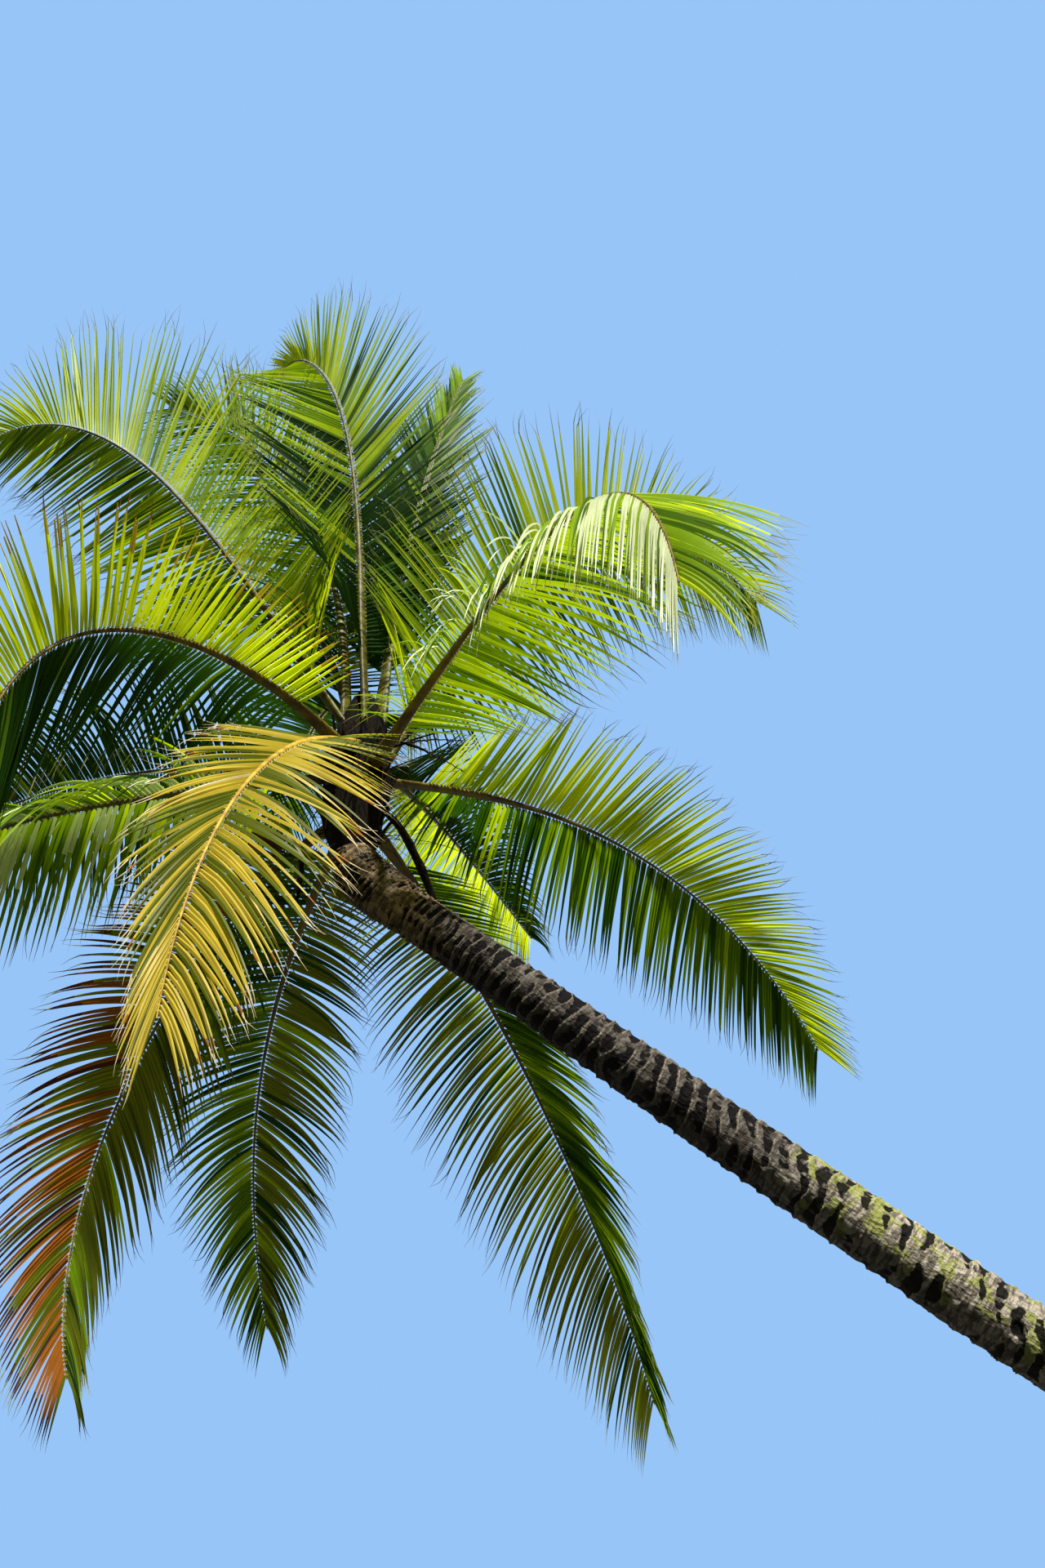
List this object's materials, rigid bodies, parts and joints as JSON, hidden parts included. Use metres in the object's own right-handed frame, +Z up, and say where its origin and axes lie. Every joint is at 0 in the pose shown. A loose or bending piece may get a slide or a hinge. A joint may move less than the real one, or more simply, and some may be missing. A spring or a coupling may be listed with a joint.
{
  "type": "coconut palm tree",
  "caption": "Tall leaning palm with a ringed bare trunk, a flared foot cut flat at the ground, and an arching crown of feathered fronds round a fibrous heart.",
  "frame": {"origin": "centre of the flat cut under the trunk, at ground level", "axes": "+Z up from the ground; the trunk leans towards -X and holds the crown there"},
  "size_m": [11.4921, 7.371, 10.7259],
  "materials": {
    "bark": "rough grey-brown bark",
    "fibre": "matted dark fibre",
    "dead_brown": "dry and matt",
    "green_leaf": "waxy leaf",
    "yellow_leaf": "dull leaf",
    "brown_leaf": "dry leaf"
  },
  "bodies": {
    "root": {"crown_heart": "fibre", "dead_bract": "dead_brown", "dead_strip": "dead_brown", "frond_back_high_inner": "green_leaf", "frond_back_high_outer": "green_leaf", "frond_back_inner": "green_leaf", "frond_back_outer": "green_leaf", "frond_back_right": "green_leaf", "frond_behind_trunk": "green_leaf", "frond_left_back": "green_leaf", "frond_left_crown": "green_leaf", "frond_left_front_inner": "green_leaf", "frond_left_front_outer": "green_leaf", "frond_left_high_inner": "green_leaf", "frond_left_high_outer": "green_leaf", "frond_left_low_inner": "green_leaf", "frond_left_low_outer": "green_leaf", "frond_lower_back": "green_leaf", "frond_lower_left_inner": "brown_leaf", "frond_lower_left_outer": "brown_leaf", "frond_right_front_inner": "green_leaf", "frond_right_front_outer": "green_leaf", "frond_right_high_inner": "green_leaf", "frond_right_high_outer": "green_leaf", "frond_right_inner": "green_leaf", "frond_right_outer": "green_leaf", "frond_top_inner": "green_leaf", "frond_top_outer": "green_leaf", "frond_top_right": "green_leaf", "frond_yellow_front_inner": "green_leaf", "frond_yellow_front_outer": "green_leaf", "old_flower_stalk": "dead_brown", "trunk": "bark"}
  },
  "joints": []
}
